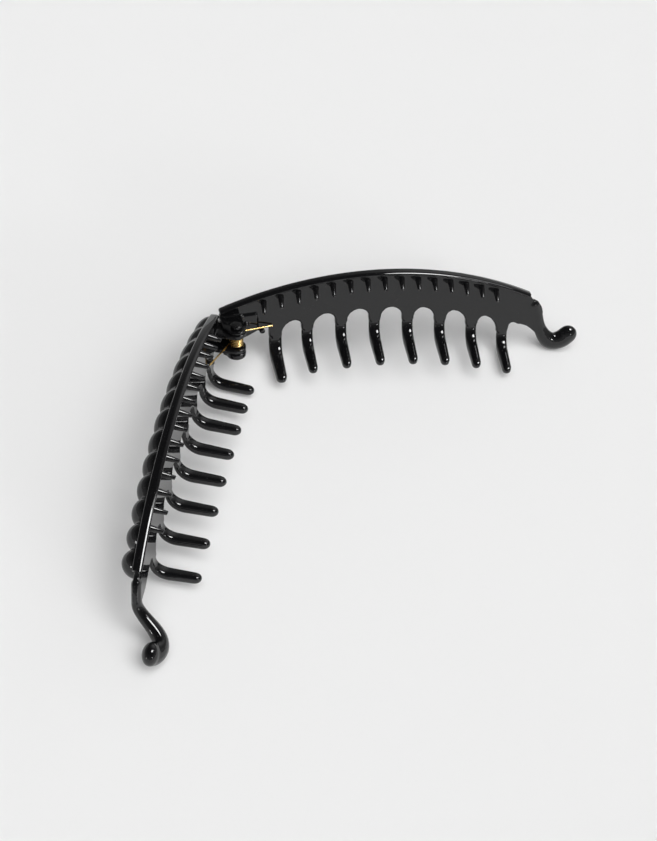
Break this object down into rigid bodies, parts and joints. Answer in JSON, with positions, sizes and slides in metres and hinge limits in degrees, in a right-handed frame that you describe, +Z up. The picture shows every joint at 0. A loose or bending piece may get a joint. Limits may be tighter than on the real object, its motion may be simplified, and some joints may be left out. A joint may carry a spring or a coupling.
{
  "type": "interlocking banana hair clip",
  "caption": "Long hair claw with arched, toothed arms on a sprung hinge, inward fingers that interlock, end hooks that catch each other and a twisted rope trim along each outer face.",
  "frame": {"origin": "under the middle of the open clip's box, on the surface that it lies on", "axes": "+X from the left arm's end to the right arm's end, +Y towards the hinge, +Z up"},
  "size_m": [0.2272, 0.0876, 0.0355],
  "materials": {
    "black_plastic": "glossy black moulded plastic",
    "black_trim": "glossy black moulded plastic",
    "black_lacquer": "black lacquered pin",
    "brass_wire": "bright drawn wire"
  },
  "bodies": {
    "right": {"right_arm": "black_plastic", "right_rope_trim": "black_trim", "hinge_pin": "black_lacquer", "torsion_spring": "brass_wire"},
    "left": {"left_arm": "black_plastic", "left_rope_trim": "black_trim"}
  },
  "joints": [
    {"name": "arm_hinge", "type": "hinge", "parent": "right", "child": "left", "pos_m": [-0.00165, 0.03132, 0.01336], "axis": [-0.0069, 0.2307, 0.973], "range_deg": [0, 114], "stiffness_Nm_per_rad": 0.02, "springref_deg": -20.05, "deforming": ["torsion_spring"]}
  ]
}
